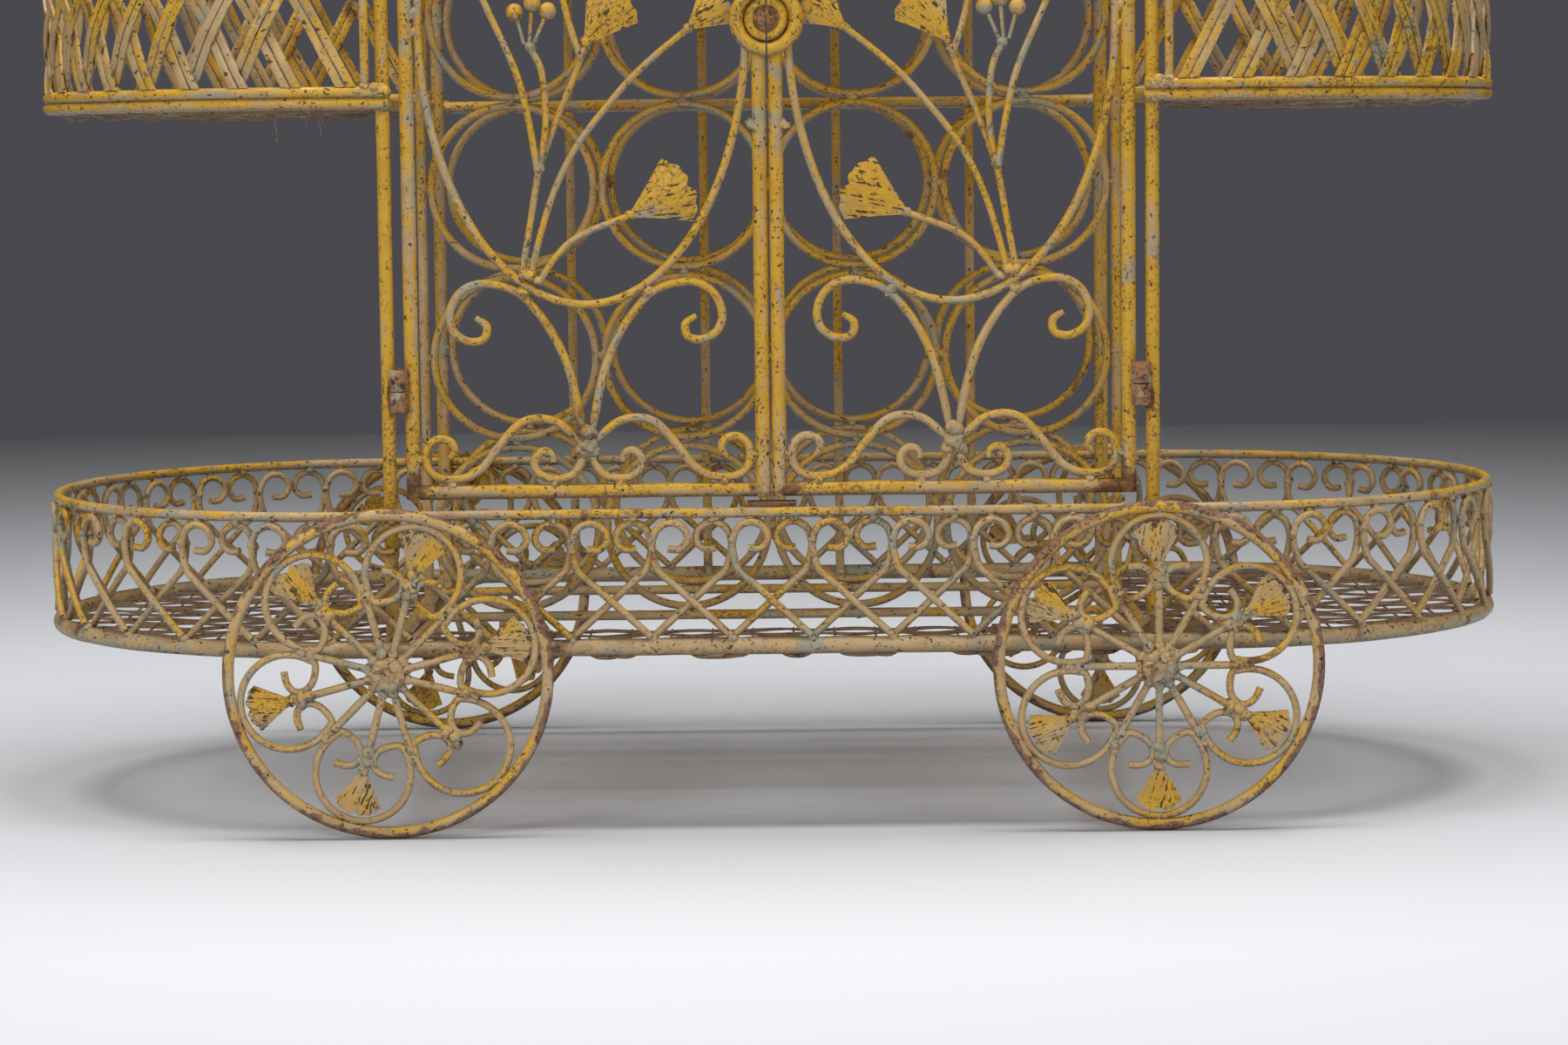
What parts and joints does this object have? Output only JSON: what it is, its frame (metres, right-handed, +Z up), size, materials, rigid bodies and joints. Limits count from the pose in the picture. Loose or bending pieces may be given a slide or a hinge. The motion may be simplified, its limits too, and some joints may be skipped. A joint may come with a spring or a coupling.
{
  "type": "cheese trolley",
  "caption": "Wire trolley on four scrolled wheels, with a galleried tray, a two-door cabinet with a bottle rack and two woven side baskets.",
  "frame": {"origin": "on the floor under the middle of the tray", "axes": "+X to the right along the tray, +Y to the back, +Z up; the doors face -Y"},
  "size_m": [0.902, 0.462, 0.7591],
  "materials": {
    "painted_wire": "chipped yellow paint over buff and grey-green undercoat",
    "painted_leaf": "ridged sheet leaf, yellow paint worn at the ridges",
    "painted_splint": "flat splints, worn yellow paint over buff",
    "painted_sheet": "worn yellow paint over buff",
    "worn_rim": "worn paint with brown rust on the tread",
    "rusty_weave": "thin strands, brown rust with paint traces",
    "rusted_steel": "brown rusted steel with paint traces"
  },
  "bodies": {
    "carriage": {"tray_bottom_rail": "painted_wire", "tray_top_rail": "painted_wire", "gallery_hearts_outer": "painted_wire", "gallery_hearts_inner": "painted_wire", "tray_weave_left": "rusty_weave", "tray_weave_right": "rusty_weave", "tray_weave_front": "rusty_weave", "tray_cross_rods": "painted_wire", "corner_posts": "painted_wire", "back_bars": "painted_wire", "cabinet_middle_rails": "painted_wire", "cabinet_top_rail": "painted_wire", "top_deck": "painted_sheet", "shelf_frame": "painted_wire", "shelf_slats": "painted_sheet", "rack_rails": "painted_wire", "rack_posts": "painted_wire", "rack_rings_front": "painted_wire", "rack_rings_back": "painted_wire", "post_knuckles": "rusted_steel", "hinge_pins": "rusted_steel", "axle_bearings": "painted_wire", "basket_left_frame": "painted_wire", "basket_left_splints_outer": "painted_splint", "basket_left_splints_inner": "painted_splint", "basket_left_weave": "rusty_weave", "basket_right_frame": "painted_wire", "basket_right_splints_outer": "painted_splint", "basket_right_splints_inner": "painted_splint", "basket_right_weave": "rusty_weave"},
    "wheelset_left": {"axle_left": "painted_wire", "wheel_left_front_rim": "worn_rim", "wheel_left_front_spokes": "painted_wire", "wheel_left_front_scrolls": "painted_wire", "wheel_left_front_leaves": "painted_leaf", "wheel_left_back_rim": "worn_rim", "wheel_left_back_spokes": "painted_wire", "wheel_left_back_scrolls": "painted_wire", "wheel_left_back_leaves": "painted_leaf"},
    "door_left": {"door_left_frame": "painted_wire", "door_left_scrollwork": "painted_wire", "door_left_vines": "painted_wire", "door_left_leaves": "painted_leaf", "door_left_knuckles": "rusted_steel", "door_left_lock": "rusted_steel"},
    "wheelset_right": {"axle_right": "painted_wire", "wheel_right_front_rim": "worn_rim", "wheel_right_front_spokes": "painted_wire", "wheel_right_front_scrolls": "painted_wire", "wheel_right_front_leaves": "painted_leaf", "wheel_right_back_rim": "worn_rim", "wheel_right_back_spokes": "painted_wire", "wheel_right_back_scrolls": "painted_wire", "wheel_right_back_leaves": "painted_leaf"},
    "door_right": {"door_right_frame": "painted_wire", "door_right_scrollwork": "painted_wire", "door_right_vines": "painted_wire", "door_right_leaves": "painted_leaf", "door_right_knuckles": "rusted_steel", "door_right_lock": "rusted_steel"}
  },
  "joints": [
    {"name": "left_axle_turn", "type": "hinge", "parent": "carriage", "child": "wheelset_left", "pos_m": [-0.2225, 0, 0.096], "axis": [0, 1, 0], "continuous": true},
    {"name": "right_axle_turn", "type": "hinge", "parent": "carriage", "child": "wheelset_right", "pos_m": [0.2225, 0, 0.096], "axis": [0, 1, 0], "continuous": true},
    {"name": "left_door_swing", "type": "hinge", "parent": "carriage", "child": "door_left", "pos_m": [-0.21507, -0.19801, 0], "axis": [0, 0, -1], "range_deg": [0, 120]},
    {"name": "right_door_swing", "type": "hinge", "parent": "carriage", "child": "door_right", "pos_m": [0.21507, -0.19801, 0], "axis": [0, 0, 1], "range_deg": [0, 120]}
  ]
}
